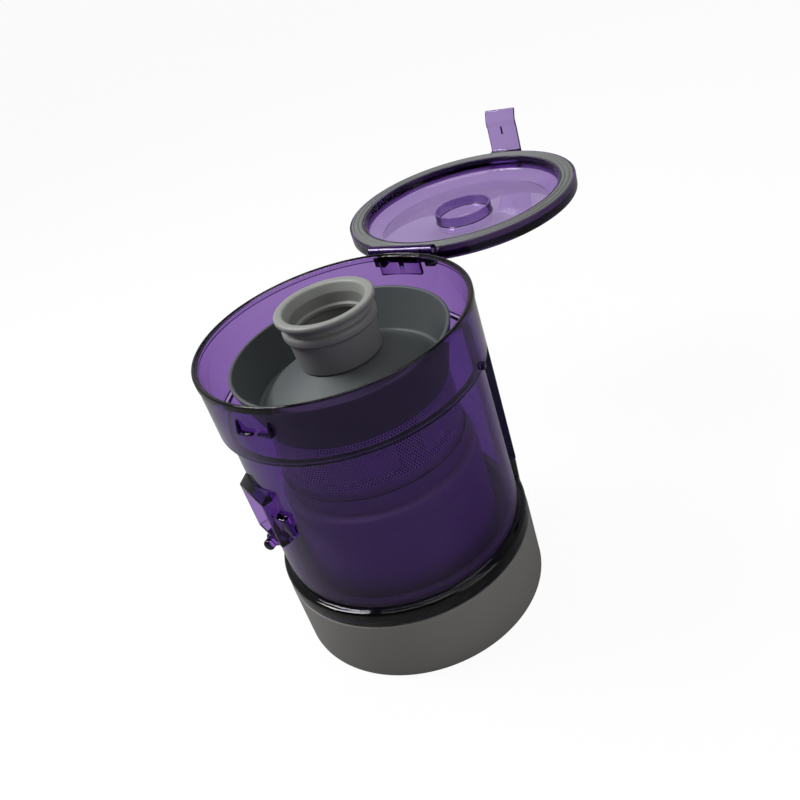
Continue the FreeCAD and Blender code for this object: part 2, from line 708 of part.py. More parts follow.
for item in doc.Objects:
    if "Invalid" in item.State or "Error" in item.State:
        raise RuntimeError("%s failed: %s" % (item.Name, item.State))
os.makedirs("parts", exist_ok=True)
for node in nodes:
    node.Label = node.Name
    if node.Shape.isNull() or not node.Shape.isValid():
        raise RuntimeError("%s has no valid shape" % node.Label)
    node.Shape.exportStep("parts/%s.step" % node.Label)
    print("%-16s %2d solids %10.1f mm3" % (node.Label, len(node.Shape.Solids), node.Shape.Volume))
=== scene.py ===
# Cyclone dust bin: clear purple cup and door, grey cyclone, mesh, tub, rubber collar and base.
# Profiles are in millimetres, in the part's frame: +Z up the bin's axis, hinge at +Y, catch at -Y.
# The meshes are kept in metres.

import bpy
import bmesh
import math
from mathutils import Matrix, Vector

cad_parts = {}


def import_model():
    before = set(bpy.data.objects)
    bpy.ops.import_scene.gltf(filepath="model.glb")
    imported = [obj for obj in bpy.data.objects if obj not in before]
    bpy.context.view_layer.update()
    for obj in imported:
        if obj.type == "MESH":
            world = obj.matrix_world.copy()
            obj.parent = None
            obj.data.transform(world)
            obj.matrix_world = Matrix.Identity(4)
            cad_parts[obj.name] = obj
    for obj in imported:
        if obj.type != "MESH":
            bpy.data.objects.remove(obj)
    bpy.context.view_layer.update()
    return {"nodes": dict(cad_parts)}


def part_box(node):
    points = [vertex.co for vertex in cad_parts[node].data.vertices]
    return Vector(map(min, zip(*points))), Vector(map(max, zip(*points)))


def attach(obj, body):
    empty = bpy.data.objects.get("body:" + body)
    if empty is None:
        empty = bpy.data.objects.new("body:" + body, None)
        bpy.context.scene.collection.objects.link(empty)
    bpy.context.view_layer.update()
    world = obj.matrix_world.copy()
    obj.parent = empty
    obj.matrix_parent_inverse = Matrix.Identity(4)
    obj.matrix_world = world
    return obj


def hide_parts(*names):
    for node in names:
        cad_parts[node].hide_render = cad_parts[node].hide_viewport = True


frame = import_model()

nodes = frame["nodes"]
MM = 0.001


def mm(node):
    """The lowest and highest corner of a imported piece, in millimetres."""
    low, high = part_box(node)
    return Vector(low) / MM, Vector(high) / MM


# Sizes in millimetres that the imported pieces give
cup_low = mm("dust_cup")[0]
seal_low, seal_high = mm("door_seal")
base_low = mm("base_housing")[0]
tub_low, tub_high = mm("shroud_skirt")
boot_low, boot_high = mm("cone_boot")
mesh_low, mesh_high = mm("mesh_screen")
body_high = mm("cyclone_body")[1]
pin_low, pin_high = mm("hinge_pin")
DECK = cup_low.z
BASE_R = -base_low.y
BODY_R = body_high.x
BODY_TOP = body_high.z
TUB_R = tub_high.x
SCREEN_TOP = tub_low.z
TUB_TOP = tub_high.z
HINGE = Vector((0, (pin_low.y + pin_high.y) / 2, (pin_low.z + pin_high.z) / 2))
DOOR_Y = (seal_low.y + seal_high.y) / 2
SEAL_Z = seal_high.z
SEAL_R = seal_high.x
BOOT_R = boot_high.x
BOOT_TOP = boot_high.z
BOOT_FOOT = boot_low.z
MESH_R = mesh_high.x
PIN_R = (pin_high.z - pin_low.z) / 2

# Cup
CUP_R = 52.25
WALL = 1.8
MOUTH_R = 55.0
STEP = 112.6
RIM = 138.6
FLANGE = 7.0
BEAD = 0.4
BEAD_FOOT = RIM - 3.0
SHELF = STEP + 0.8
INNER_R = CUP_R - WALL
CUP_ROOT = MOUTH_R - WALL / 2

# Hinge barrel on its pad, and the door's ears
PAD_LOW = RIM - 10.0
PAD_TOP = BEAD_FOOT
PAD_R = MOUTH_R + 0.9
PAD_WIDTH = 20.7
GUSSET_WIDTH = 2.0
BARREL = 20.0
BARREL_R = 2.6
EAR = 5.2
EAR_GAP = 0.3

# Side rail with the base's tongue on it, and the small lug
RAIL_R = CUP_R + 3.75
RAIL_WIDTH = 8.0
TONGUE_TOP = DECK + 15.9
NOTCH_WIDTH = 8.4
LUG_R = MOUTH_R + 1.2
LUG_LOW = STEP + 0.6
LUG_TOP = STEP + 3.2
LUG_WIDTH = 2.6

# Catch for the door's tab
CATCH_LOW = RIM - 11.8
CATCH_TOP = RIM - 6.4
CATCH_R = MOUTH_R + 1.4
CATCH_HALF = 7.75
CATCH_SKIN = 1.1
CATCH_SHELF = 6.15
CATCH_SHELF_AT = 4.275

# Angles of the cup's features about Z, in degrees from +X
HINGE_AZ = 90.0
CATCH_AZ = 270.0
RAIL_AZ = 46.0
INLET_AZ = 244.0
BLOCK_AZ = 258.0
LUG_AZ = 10.0

# How far the looks of these features spread to each side, in degrees
RAIL_SPAN = 7
CATCH_SPAN = 12
HINGE_SPAN = 12
BLOCK_SPAN = 5.5
DUCT_SPAN = 16

# Inlet duct, the rib beside it and the locating peg
DUCT_LOW = 68.5
DUCT_HIGH = 91.0
DUCT_R = CUP_R + 3.25
DUCT_ROOF = DUCT_HIGH + 3.0
DUCT_ROOT = INNER_R + 0.05
DUCT_WIDTH = 21.0
DUCT_SKIN = 1.6
PASSAGE_WIDTH = 17.8
BLOCK_LOW = 74.0
BLOCK_TOP = 84.0
BLOCK_WIDTH = 8.0
PEG_START = (-26.8, -43.6, 64.0)
PEG_R = 2.4
PEG_LENGTH = 8.0
PEG_COLLAR_R = 3.4
PEG_COLLAR = 4.0

# Door: depths below the seal's face, and radii about the door's own axis
DISH_UNDER = SEAL_Z - 11.1
DISH_FLOOR = SEAL_Z - 9.9
RING_UNDER = SEAL_Z - 6.6
CHANNEL = SEAL_Z - 2.8
DOOR_LIP = SEAL_Z - 0.3
SEAL_INNER = 47.9
RING_INNER = 46.5
DOOR_R = SEAL_R + 1.0
CENTRE_RING = 13.5
CENTRE_RING_IN = 12.5
CENTRE_RING_TOP = SEAL_Z - 5.3
TAB_R = MOUTH_R + 2.1
TAB_WIDTH = 16.0
HOOK = SEAL_Z + 12.1
TIP = HOOK + 7.9
RIB_LOW = HOOK - 4.2
RIB_TOP = HOOK + 0.2
RIB_WIDTH = 0.8
ARM = 6.2

# Seal: its two grooves
GROOVE_FOOT = SEAL_Z - 0.35
GROOVES = (51.9, 49.7)
GROOVE_HALF = 0.5
GROOVE_FOOT_HALF = 0.2

# Base
SPIGOT_R = INNER_R - 0.2
SPIGOT_WALL = 2.6
SPIGOT_TOP = DECK + 10.0
SPIGOT_GROOVE = 1.0
DECK_HOLE = 20.0
DECK_UNDER = DECK - 2.5
BASE_TOP = DECK - 0.05
BASE_WALL = 2.0
CHAMBER_R = 33.0
CHAMBER_OUTER = 35.0
CHAMBER_LOW = 8.0
BOSS_R = 3.2
BOSS_FROM_AXIS = 37.9
BOSS_ANGLES = (30, 150, 270)

# Cyclone body, tub and collar
BODY_WALL = 1.8
BODY_TOP_WALL = 2.0
BODY_HOLE = 13.1
SEAM = 67.5
NECK_R = 15.8
TUB_WALL = 1.6
TUB_FLOOR = SCREEN_TOP + 2.0
CREASE_R = 31.5
CREASE_Z = TUB_FLOOR + 5.5

# Screen's round holes
HOLES_ACROSS = 188
HOLE_ROWS = 18
ROW_PITCH = 1.11
HOLE_R = 0.50
SCREEN_SKIN = 0.1

SEGMENTS = 192
TINY = 1e-6


def rounded(corners, steps=5):
    """The outline through (radius, height, rounding) corners, each corner turned into an arc."""
    points = []
    count = len(corners)
    for index, (r, z, fillet) in enumerate(corners):
        here = Vector((r, z))
        before = Vector(corners[index - 1][:2]) - here
        after = Vector(corners[(index + 1) % count][:2]) - here
        if fillet <= 0 or before.length < TINY or after.length < TINY:
            points.append(here)
            continue
        opening = before.angle(after)
        reach = fillet / math.tan(opening / 2)
        reach = min(reach, before.length * 0.48, after.length * 0.48)
        radius = reach * math.tan(opening / 2)
        start = here + before.normalized() * reach
        middle = here + (before.normalized() + after.normalized()).normalized() * (
            radius / math.sin(opening / 2))
        first = start - middle
        last = here + after.normalized() * reach - middle
        sweep = math.pi - opening
        turn = 1 if first.x * last.y - first.y * last.x > 0 else -1
        for step in range(steps + 1):
            angle = turn * sweep * step / steps
            c, s = math.cos(angle), math.sin(angle)
            points.append(middle + Vector((first.x * c - first.y * s, first.x * s + first.y * c)))
    return points


def keep(name, bm, sharp=32):
    """A mesh object in metres from a bmesh in millimetres, smooth but for its sharp edges."""
    bmesh.ops.remove_doubles(bm, verts=bm.verts, dist=1e-5)
    bmesh.ops.recalc_face_normals(bm, faces=bm.faces)
    bmesh.ops.scale(bm, vec=(MM, MM, MM), verts=bm.verts)
    mesh = bpy.data.meshes.new(name)
    bm.to_mesh(mesh)
    bm.free()
    for face in mesh.polygons:
        face.use_smooth = True
    mesh.set_sharp_from_angle(angle=math.radians(sharp))
    item = bpy.data.objects.new(name, mesh)
    bpy.context.scene.collection.objects.link(item)
    return item


def lathe(name, corners, centre=(0.0, 0.0), segments=SEGMENTS, steps=5):
    """A closed half section turned about an upright axis."""
    outline = rounded(corners, steps)
    bm = bmesh.new()
    rings = []
    for index in range(segments):
        angle = 2 * math.pi * index / segments
        c, s = math.cos(angle), math.sin(angle)
        rings.append([bm.verts.new((centre[0] + p.x * c, centre[1] + p.x * s, p.y)) for p in outline])
    for index, ring in enumerate(rings):
        following = rings[(index + 1) % segments]
        for k in range(len(outline)):
            j = (k + 1) % len(outline)
            if outline[k].x < TINY and outline[j].x < TINY:
                continue
            corners_of_face = [ring[k], ring[j], following[j], following[k]]
            if outline[k].x < TINY:
                corners_of_face = [ring[k], ring[j], following[j]]
            if outline[j].x < TINY:
                corners_of_face = [ring[k], ring[j], following[k]]
            bm.faces.new(corners_of_face)
    return keep(name, bm)


def prism(name, angle, corners, width, centre=(0.0, 0.0), bevel=0.3, steps=4, slide=0.0):
    """A (radius, height) outline, as wide to both sides, standing at an angle about the axis."""
    outline = rounded(corners, steps)
    bm = bmesh.new()
    sides = []
    for offset in (slide - width / 2, slide + width / 2):
        sides.append([bm.verts.new((p.x, offset, p.y)) for p in outline])
    bm.faces.new(sides[0])
    bm.faces.new(list(reversed(sides[1])))
    count = len(outline)
    for k in range(count):
        j = (k + 1) % count
        bm.faces.new([sides[0][j], sides[0][k], sides[1][k], sides[1][j]])
    bmesh.ops.recalc_face_normals(bm, faces=bm.faces)
    if bevel:
        rim = [edge for edge in bm.edges if edge.is_manifold
               and edge.calc_face_angle() > math.radians(50)]
        bmesh.ops.bevel(bm, geom=rim, offset=bevel, segments=2, profile=0.5, affect="EDGES")
    turn = Matrix.Rotation(math.radians(angle), 4, "Z")
    bmesh.ops.transform(bm, matrix=turn, verts=bm.verts)
    bmesh.ops.translate(bm, vec=(centre[0], centre[1], 0), verts=bm.verts)
    return keep(name, bm)


def plain(*pairs):
    """Corners with no rounding."""
    return [(r, z, 0.0) for r, z in pairs]


def bar(name, radius, length, start, direction, rounding=0.0, segments=48):
    """A round bar from a point along a direction, its far end rounded."""
    end = [(0, 0, 0), (radius, 0, 0), (radius, length, rounding), (0, length, 0)]
    outline = rounded(end, 6)
    bm = bmesh.new()
    rings = []
    for index in range(segments):
        angle = 2 * math.pi * index / segments
        c, s = math.cos(angle), math.sin(angle)
        rings.append([bm.verts.new((p.x * c, p.x * s, p.y)) for p in outline])
    for index, ring in enumerate(rings):
        following = rings[(index + 1) % segments]
        for k in range(len(outline) - 1):
            face = [ring[k], ring[k + 1], following[k + 1], following[k]]
            if outline[k].x < TINY:
                face = [ring[k], ring[k + 1], following[k + 1]]
            if outline[k + 1].x < TINY:
                face = [ring[k], ring[k + 1], following[k]]
            bm.faces.new(face)
    turn = Vector(direction).to_track_quat("Z", "Y").to_matrix().to_4x4()
    bmesh.ops.transform(bm, matrix=turn, verts=bm.verts)
    bmesh.ops.translate(bm, vec=start, verts=bm.verts)
    return keep(name, bm)


def combine(base, items, operation, sharp=32):
    """The base with the items joined to it or taken out of it, as one mesh."""
    for item in items:
        step = base.modifiers.new("step", "BOOLEAN")
        step.operation = operation
        step.solver = "EXACT"
        step.object = item
    bpy.context.view_layer.update()
    graph = bpy.context.evaluated_depsgraph_get()
    mesh = bpy.data.meshes.new_from_object(base.evaluated_get(graph))
    base.modifiers.clear()
    base.data = mesh
    for face in mesh.polygons:
        face.use_smooth = True
    mesh.set_sharp_from_angle(angle=math.radians(sharp))
    for item in items:
        bpy.data.objects.remove(item)
    return base


def on_axis(radius, angle, height):
    a = math.radians(angle)
    return Vector((radius * math.cos(a), radius * math.sin(a), height))


# Materials

PLASTIC_IOR = 1.38
GRAIN_DEPTH = 0.00004
METAL_GRAIN_DEPTH = 0.00003
DRIFT_SCALE = 28.0
DRIFT_DARK = 0.92
DRIFT_PALE = 1.08
RIPPLE_SCALE = 26.0
RIPPLE_DEPTH = 0.0004


def material(name):
    item = bpy.data.materials.new(name)
    item.use_nodes = True
    tree = item.node_tree
    return item, tree, tree.nodes["Principled BSDF"]


def node(tree, kind, **values):
    item = tree.nodes.new(kind)
    for key, value in values.items():
        item.inputs[key].default_value = value
    return item


def grain(tree, shader, scale, strength, distance, detail=4.0):
    """A fine moulded grain in the bump."""
    place = tree.nodes.new("ShaderNodeTexCoord")
    noise = node(tree, "ShaderNodeTexNoise", Scale=scale, Detail=detail, Roughness=0.6)
    bump = node(tree, "ShaderNodeBump", Strength=strength, Distance=distance)
    tree.links.new(place.outputs["Object"], noise.inputs["Vector"])
    tree.links.new(noise.outputs["Fac"], bump.inputs["Height"])
    tree.links.new(bump.outputs["Normal"], shader.inputs["Normal"])
    return noise


def vary(tree, noise_source, low, high, target):
    """A value that drifts between two levels over the surface."""
    spread = tree.nodes.new("ShaderNodeMapRange")
    spread.inputs["To Min"].default_value = low
    spread.inputs["To Max"].default_value = high
    tree.links.new(noise_source.outputs["Fac"], spread.inputs["Value"])
    tree.links.new(spread.outputs["Result"], target)


def moulded(name, colour, roughness, grain_scale=900.0, strength=0.25, spread=0.06, specular=0.5):
    """Opaque plastic or rubber with a fine grain and a slow drift in its shade."""
    item, tree, shader = material(name)
    shader.inputs["Base Color"].default_value = (*colour, 1)
    shader.inputs["Roughness"].default_value = roughness
    shader.inputs["Specular IOR Level"].default_value = specular
    noise = grain(tree, shader, grain_scale, strength, GRAIN_DEPTH)
    vary(tree, noise, roughness - spread, roughness + spread, shader.inputs["Roughness"])
    place = tree.nodes.new("ShaderNodeTexCoord")
    drift = node(tree, "ShaderNodeTexNoise", Scale=DRIFT_SCALE, Detail=3.0)
    tree.links.new(place.outputs["Object"], drift.inputs["Vector"])
    shade = tree.nodes.new("ShaderNodeMix")
    shade.data_type = "RGBA"
    shade.inputs["A"].default_value = (*[value * DRIFT_DARK for value in colour], 1)
    shade.inputs["B"].default_value = (*[min(1, value * DRIFT_PALE) for value in colour], 1)
    tree.links.new(drift.outputs["Fac"], shade.inputs["Factor"])
    tree.links.new(shade.outputs["Result"], shader.inputs["Base Color"])
    return item


def by_height(name, level, below, above):
    """Moulded plastic with one colour under a level in millimetres and another over it."""
    item = moulded(name, below, 0.5)
    tree = item.node_tree
    shader = tree.nodes["Principled BSDF"]
    place = tree.nodes.new("ShaderNodeTexCoord")
    split = tree.nodes.new("ShaderNodeSeparateXYZ")
    over = node(tree, "ShaderNodeMath")
    over.operation = "GREATER_THAN"
    over.inputs[1].default_value = level * MM
    shade = tree.nodes.new("ShaderNodeMix")
    shade.data_type = "RGBA"
    shade.inputs["B"].default_value = (*above, 1)
    drift = shader.inputs["Base Color"].links[0].from_socket
    tree.links.new(place.outputs["Object"], split.inputs[0])
    tree.links.new(split.outputs["Z"], over.inputs[0])
    tree.links.new(over.outputs[0], shade.inputs["Factor"])
    tree.links.new(drift, shade.inputs["A"])
    tree.links.new(shade.outputs["Result"], shader.inputs["Base Color"])
    return item


def clear_plastic(name, surface, depth_colour, density, specular=0.5):
    """Tinted clear plastic: a light tint at each face and a deeper one with thickness."""
    item, tree, shader = material(name)
    shader.inputs["Base Color"].default_value = (*surface, 1)
    shader.inputs["Transmission Weight"].default_value = 1.0
    shader.inputs["IOR"].default_value = PLASTIC_IOR
    shader.inputs["Specular IOR Level"].default_value = specular
    shader.inputs["Roughness"].default_value = 0.03
    noise = grain(tree, shader, RIPPLE_SCALE, 0.05, RIPPLE_DEPTH, 2.0)
    vary(tree, noise, 0.02, 0.06, shader.inputs["Roughness"])
    depth = node(tree, "ShaderNodeVolumeAbsorption", Density=density)
    depth.inputs["Color"].default_value = (*depth_colour, 1)
    output = next(n for n in tree.nodes if n.type == "OUTPUT_MATERIAL")
    tree.links.new(depth.outputs["Volume"], output.inputs["Volume"])
    return item


def metal(name, colour, roughness):
    item, tree, shader = material(name)
    shader.inputs["Base Color"].default_value = (*colour, 1)
    shader.inputs["Metallic"].default_value = 1.0
    noise = grain(tree, shader, 1600.0, 0.15, METAL_GRAIN_DEPTH)
    vary(tree, noise, roughness - 0.05, roughness + 0.1, shader.inputs["Roughness"])
    return item


CLEAR = clear_plastic("clear_purple", (0.60, 0.48, 0.77), (0.33, 0.04, 0.53), 600.0)
LID = clear_plastic("clear_purple_lid", (0.43, 0.34, 0.58), (0.40, 0.08, 0.62), 220.0)
DEEP = clear_plastic("clear_purple_edge", (0.44, 0.25, 0.66), (0.40, 0.07, 0.62), 230.0)
DARK = clear_plastic("clear_purple_thick", (0.13, 0.05, 0.24), (0.30, 0.03, 0.50), 600.0)
KNUCKLE = clear_plastic("clear_purple_knuckle", (0.24, 0.09, 0.46), (0.30, 0.03, 0.50), 400.0, 0.12)
HOUSING = moulded("housing_grey", (0.225, 0.219, 0.210), 0.62, 1400.0, 0.35)
SHROUD = moulded("shroud_grey", (0.38, 0.36, 0.38), 0.5)
TUB = moulded("tub_grey", (0.058, 0.066, 0.068), 0.56, 900.0, 0.2, specular=0.35)
COLLAR = moulded("collar_grey", (0.195, 0.202, 0.188), 0.5, 1100.0, 0.3)
SEAL = moulded("seal_grey", (0.115, 0.122, 0.118), 0.5, 1100.0, 0.3)
# Near-black for the rubber seals, and also used as painted shade on the base's tongue.
BLACK_SEAL_AND_PAINTED_SHADE = moulded("seal_black", (0.02, 0.02, 0.02), 0.5)
MESH = moulded("mesh_dark", (0.66, 0.60, 0.72), 0.35, 900.0, 0.15)
FOAM = moulded("foam_dark", (0.04, 0.04, 0.04), 0.9, 500.0, 0.9)
PLEAT = moulded("pleat_white", (0.72, 0.72, 0.69), 0.85, 500.0, 0.5)
STEEL = metal("pin_steel", (0.22, 0.22, 0.23), 0.5)


def dress(item, looks, body="bin", replaces=(), choose=None):
    """Gives a piece its looks, chosen by each face's centre in millimetres where there are more."""
    item.data.materials.clear()
    for look in looks:
        item.data.materials.append(look)
    if choose:
        for face in item.data.polygons:
            face.material_index = choose(face.center / MM)
    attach(item, body)
    if replaces:
        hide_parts(*replaces)
    return item


# Clear cup

def cup():
    shell = lathe("cup", [
        (INNER_R, DECK, 0.2),
        (MOUTH_R, DECK, 0.9),
        (MOUTH_R, DECK + FLANGE, 1.8),
        (CUP_R, DECK + FLANGE + 0.4, 0.9),
        (CUP_R, STEP, 0.2),
        (MOUTH_R, STEP, 0.6),
        (MOUTH_R, BEAD_FOOT, 0.2),
        (MOUTH_R + BEAD, RIM - 2.8, 0.15),
        (MOUTH_R + BEAD, RIM, 0.7),
        (MOUTH_R - 0.7, RIM, 0.35),
        (MOUTH_R - 0.9, RIM - 0.7, 0.2),
        (MOUTH_R - WALL, RIM - 0.8, 0.3),
        (MOUTH_R - WALL, SHELF, 0.3),
        (INNER_R, SHELF, 0.3),
    ])
    root = CUP_ROOT
    rail_root = CUP_R - WALL / 2
    rail_low = DECK + 16.0
    pad = [(root, PAD_LOW, 0.2), (PAD_R, PAD_LOW, 0.3), (PAD_R, PAD_TOP, 0.3), (root, PAD_TOP, 0.2)]
    web = plain((root, RIM - 5.6), (HINGE.y, HINGE.z - BARREL_R + 0.3),
                (HINGE.y, HINGE.z), (root, HINGE.z))
    gusset = plain((root, PAD_LOW + 0.2), (MOUTH_R + 1.0, PAD_LOW + 0.6),
                   (HINGE.y - 0.4, HINGE.z - BARREL_R), (HINGE.y, HINGE.z), (root, HINGE.z - 0.3))
    rail = plain((rail_root, rail_low), (RAIL_R, rail_low), (RAIL_R, LUG_LOW), (rail_root, LUG_LOW))
    lug = plain((root, LUG_LOW), (LUG_R, LUG_LOW), (LUG_R, LUG_TOP), (root, LUG_TOP))
    parts = [
        prism("pad", HINGE_AZ, pad, PAD_WIDTH),
        prism("web", HINGE_AZ, web, BARREL),
        prism("gusset", HINGE_AZ, gusset, GUSSET_WIDTH),
        bar("barrel", BARREL_R, BARREL, (-BARREL / 2, HINGE.y, HINGE.z), (1, 0, 0)),
        prism("rail", RAIL_AZ, rail, RAIL_WIDTH),
        prism("lug", LUG_AZ, lug, LUG_WIDTH),
    ]
    parts += catch(root) + inlet()
    shell = combine(shell, parts, "UNION")
    near = CUP_R - 6 * WALL
    far = CUP_R + 6.0
    low = DUCT_LOW + DUCT_SKIN
    high = DUCT_HIGH - DUCT_SKIN
    passage = plain((near, low), (far, low), (far, high), (near, high))
    foot = DECK - 1
    head = DECK + FLANGE + 1.8
    notch = plain((CUP_R + 0.2, foot), (MOUTH_R + 3, foot), (MOUTH_R + 3, head), (CUP_R + 0.2, head))
    tools = [
        prism("passage", INLET_AZ, passage, PASSAGE_WIDTH, bevel=0.5),
        bar("bore", PIN_R, BARREL + 0.6, (-BARREL / 2 - 0.3, HINGE.y, HINGE.z), (1, 0, 0)),
        prism("notch", RAIL_AZ, notch, NOTCH_WIDTH, bevel=0),
    ]
    return combine(shell, tools, "DIFFERENCE")


def catch(root):
    """The hollow ledge that the door's tab hooks under: two side walls, a shelf and a notch."""
    low = CATCH_LOW
    wall = plain((root, low), (CATCH_R, low), (CATCH_R, low + 1.2), (MOUTH_R, CATCH_TOP), (root, CATCH_TOP))
    shelf = plain((root, low), (CATCH_R, low), (CATCH_R, low + 1.0), (root, low + 1.0))
    wall_at = CATCH_HALF - CATCH_SKIN / 2
    return [
        prism("catch_left", CATCH_AZ, wall, CATCH_SKIN, bevel=0.15, slide=-wall_at),
        prism("catch_right", CATCH_AZ, wall, CATCH_SKIN, bevel=0.15, slide=wall_at),
        prism("catch_shelf_left", CATCH_AZ, shelf, CATCH_SHELF, bevel=0.12, slide=-CATCH_SHELF_AT),
        prism("catch_shelf_right", CATCH_AZ, shelf, CATCH_SHELF, bevel=0.12, slide=CATCH_SHELF_AT),
    ]


def inlet():
    """The rectangular duct with its sloping roof, the rib beside it and the peg below."""
    duct = prism("duct", INLET_AZ, [
        (DUCT_ROOT, DUCT_LOW, 0.0), (DUCT_R, DUCT_LOW, 0.6), (DUCT_R, DUCT_HIGH, 0.8),
        (CUP_R - 0.9, DUCT_ROOF, 0.5), (DUCT_ROOT, DUCT_ROOF, 0.0)], DUCT_WIDTH, bevel=0.5)
    block = prism("block", BLOCK_AZ, [
        (CUP_R - 0.9, BLOCK_LOW, 0.0), (CUP_R + 1.3, BLOCK_LOW, 0.5), (CUP_R + 2.6, BLOCK_TOP, 0.6),
        (CUP_R - 0.9, BLOCK_TOP, 0.0)], BLOCK_WIDTH, bevel=0.5)
    collar = bar("peg_collar", PEG_COLLAR_R, PEG_COLLAR, PEG_START, (0, -1, 0), rounding=0.5)
    peg = bar("peg", PEG_R, PEG_LENGTH, PEG_START, (0, -1, 0), rounding=1.6)
    trim = bar("trim", INNER_R + 0.6, 20.0, (0, 0, 54.0), (0, 0, 1), segments=SEGMENTS)
    peg = combine(combine(peg, [collar], "UNION"), [trim], "DIFFERENCE")
    return [duct, block, peg]


def cup_look(centre):
    """0 for the clear wall, 1 for thicker places, 2 for the darkest and 3 for the hinge barrel."""
    radius = math.hypot(centre.x, centre.y)
    angle = math.degrees(math.atan2(centre.y, centre.x)) % 360
    if centre.z < DECK + FLANGE + 0.6:
        return 2
    if radius < MOUTH_R + 0.5:
        rim = centre.z > RIM - 0.6 or abs(centre.z - RIM + 2.9) < 0.15
        ledge = STEP - 0.1 < centre.z < STEP + 0.7 and radius > MOUTH_R - 0.7
        if rim or ledge:
            return 2
    if abs(angle - RAIL_AZ) < RAIL_SPAN and centre.z < STEP and radius > CUP_R + 0.1:
        return 2
    if abs(angle - CATCH_AZ) < CATCH_SPAN and centre.z > STEP + 4 and radius > MOUTH_R + 0.2:
        return 2
    if abs(angle - HINGE_AZ) < HINGE_SPAN and centre.z > RIM - 4 and centre.y > MOUTH_R + 0.6:
        return 3
    if abs(angle - BLOCK_AZ) < BLOCK_SPAN and centre.z < DUCT_HIGH and radius > CUP_R + 0.1:
        return 1
    duct = abs(angle - INLET_AZ) < DUCT_SPAN and radius > CUP_R + 0.2
    return int(duct and (centre.z < DUCT_LOW + 0.6 or DUCT_HIGH - 0.6 < centre.z < STEP - 4))


dress(cup(), [CLEAR, DEEP, DARK, KNUCKLE], "bin", ["dust_cup"], cup_look)


# Door, its seal and the hinge pin

def door():
    home = (0.0, DOOR_Y)
    top = SEAL_Z
    dish = lathe("door_shell", [
        (0, DISH_UNDER, 0.0),
        (41.4, DISH_UNDER, 2.5),
        (48.0, top - 7.8, 1.2),
        (48.0, RING_UNDER, 0.4),
        (DOOR_R, RING_UNDER, 0.9),
        (DOOR_R, DOOR_LIP, 0.4),
        (SEAL_R, DOOR_LIP, 0.1),
        (SEAL_R, CHANNEL, 0.1),
        (SEAL_INNER, CHANNEL, 0.1),
        (SEAL_INNER, DOOR_LIP, 0.3),
        (RING_INNER, DOOR_LIP, 0.5),
        (RING_INNER, RING_UNDER, 1.2),
        (40.0, DISH_FLOOR, 2.0),
        (CENTRE_RING, DISH_FLOOR, 0.5),
        (CENTRE_RING, CENTRE_RING_TOP, 0.35),
        (CENTRE_RING_IN, CENTRE_RING_TOP, 0.35),
        (CENTRE_RING_IN, DISH_FLOOR, 0.5),
        (0, DISH_FLOOR, 0.0),
    ], home)
    outer = TAB_R
    root = SEAL_R
    tab = prism("tab", HINGE_AZ, [
        (root, top - 6.2, 0.0), (outer, top - 6.2, 1.4), (outer + 1.8, top - 4.4, 1.6),
        (outer + 1.7, HOOK - 1.5, 2.5), (outer + 1.2, HOOK + 2.5, 2.5), (outer + 3.2, TIP - 0.3, 0.8),
        (outer + 1.4, TIP, 0.8), (outer - 0.5, HOOK + 2.2, 2.2), (outer - 0.5, HOOK, 0.5),
        (outer, HOOK - 0.8, 0.3), (outer, top - 0.5, 1.0), (root, top - 0.5, 0.0)],
        TAB_WIDTH, home, bevel=0.5)
    rib = prism("tab_rib", HINGE_AZ, plain((outer - 0.4, RIB_LOW), (outer + 0.6, RIB_LOW),
                                           (outer + 0.6, RIB_TOP), (outer - 0.4, RIB_TOP)),
                RIB_WIDTH, home, bevel=0.1)
    parts = [tab, rib]
    for side in (-1, 1):
        start = BARREL / 2 + EAR_GAP if side > 0 else -BARREL / 2 - EAR_GAP - EAR
        parts.append(bar("ear", BARREL_R, EAR, (start, HINGE.y, HINGE.z), (1, 0, 0)))
        arm = plain((HINGE.y, top - 6.0), (HINGE.y + ARM, top - 6.0),
                    (HINGE.y + ARM, top - 0.4), (HINGE.y, top - 0.4))
        parts.append(prism("arm", HINGE_AZ, arm, EAR, bevel=0.3, slide=-(start + EAR / 2)))
    shell = combine(dish, parts, "UNION")
    span = BARREL + 2 * EAR_GAP + 2 * EAR
    bore = bar("ear_bore", PIN_R + 0.05, span + 0.6, (-span / 2 - 0.3, HINGE.y, HINGE.z), (1, 0, 0))
    return combine(shell, [bore], "DIFFERENCE")


def door_look(centre):
    """1 for the thick outer ring, 2 for the tab's rib, 3 for the hinge ears and 0 elsewhere."""
    radius = math.hypot(centre.x, centre.y - DOOR_Y)
    rib = abs(centre.x) < 0.6 and -4.5 < centre.z - HOOK < -1.0 and radius < TAB_R - 0.05
    if rib:
        return 2
    if centre.y < HINGE.y + BARREL_R + 0.1:
        return 3
    return int(50.5 < radius < SEAL_R + 1.05)


dress(door(), [LID, DEEP, DARK, KNUCKLE], "door", ["door"], door_look)

section = [(SEAL_INNER, CHANNEL, 0.1), (SEAL_R, CHANNEL, 0.1), (SEAL_R, SEAL_Z - 0.1, 0.5)]
for groove in GROOVES:
    section += [
        (groove + GROOVE_HALF, SEAL_Z, 0.3), (groove + GROOVE_FOOT_HALF, GROOVE_FOOT, 0.15),
        (groove - GROOVE_FOOT_HALF, GROOVE_FOOT, 0.15), (groove - GROOVE_HALF, SEAL_Z, 0.3)]
section.append((SEAL_INNER, SEAL_Z - 0.1, 0.4))
seal = lathe("seal", section, (0.0, DOOR_Y), steps=3)
dress(seal, [SEAL], "door", ["door_seal"])

span = pin_high.x - pin_low.x
pin = bar("pin", PIN_R - 0.01, span - 0.2, (pin_low.x + 0.1, HINGE.y, HINGE.z), (1, 0, 0), rounding=0.3)
dress(pin, [STEEL], "bin", ["hinge_pin"])


# Grey base with its tongue

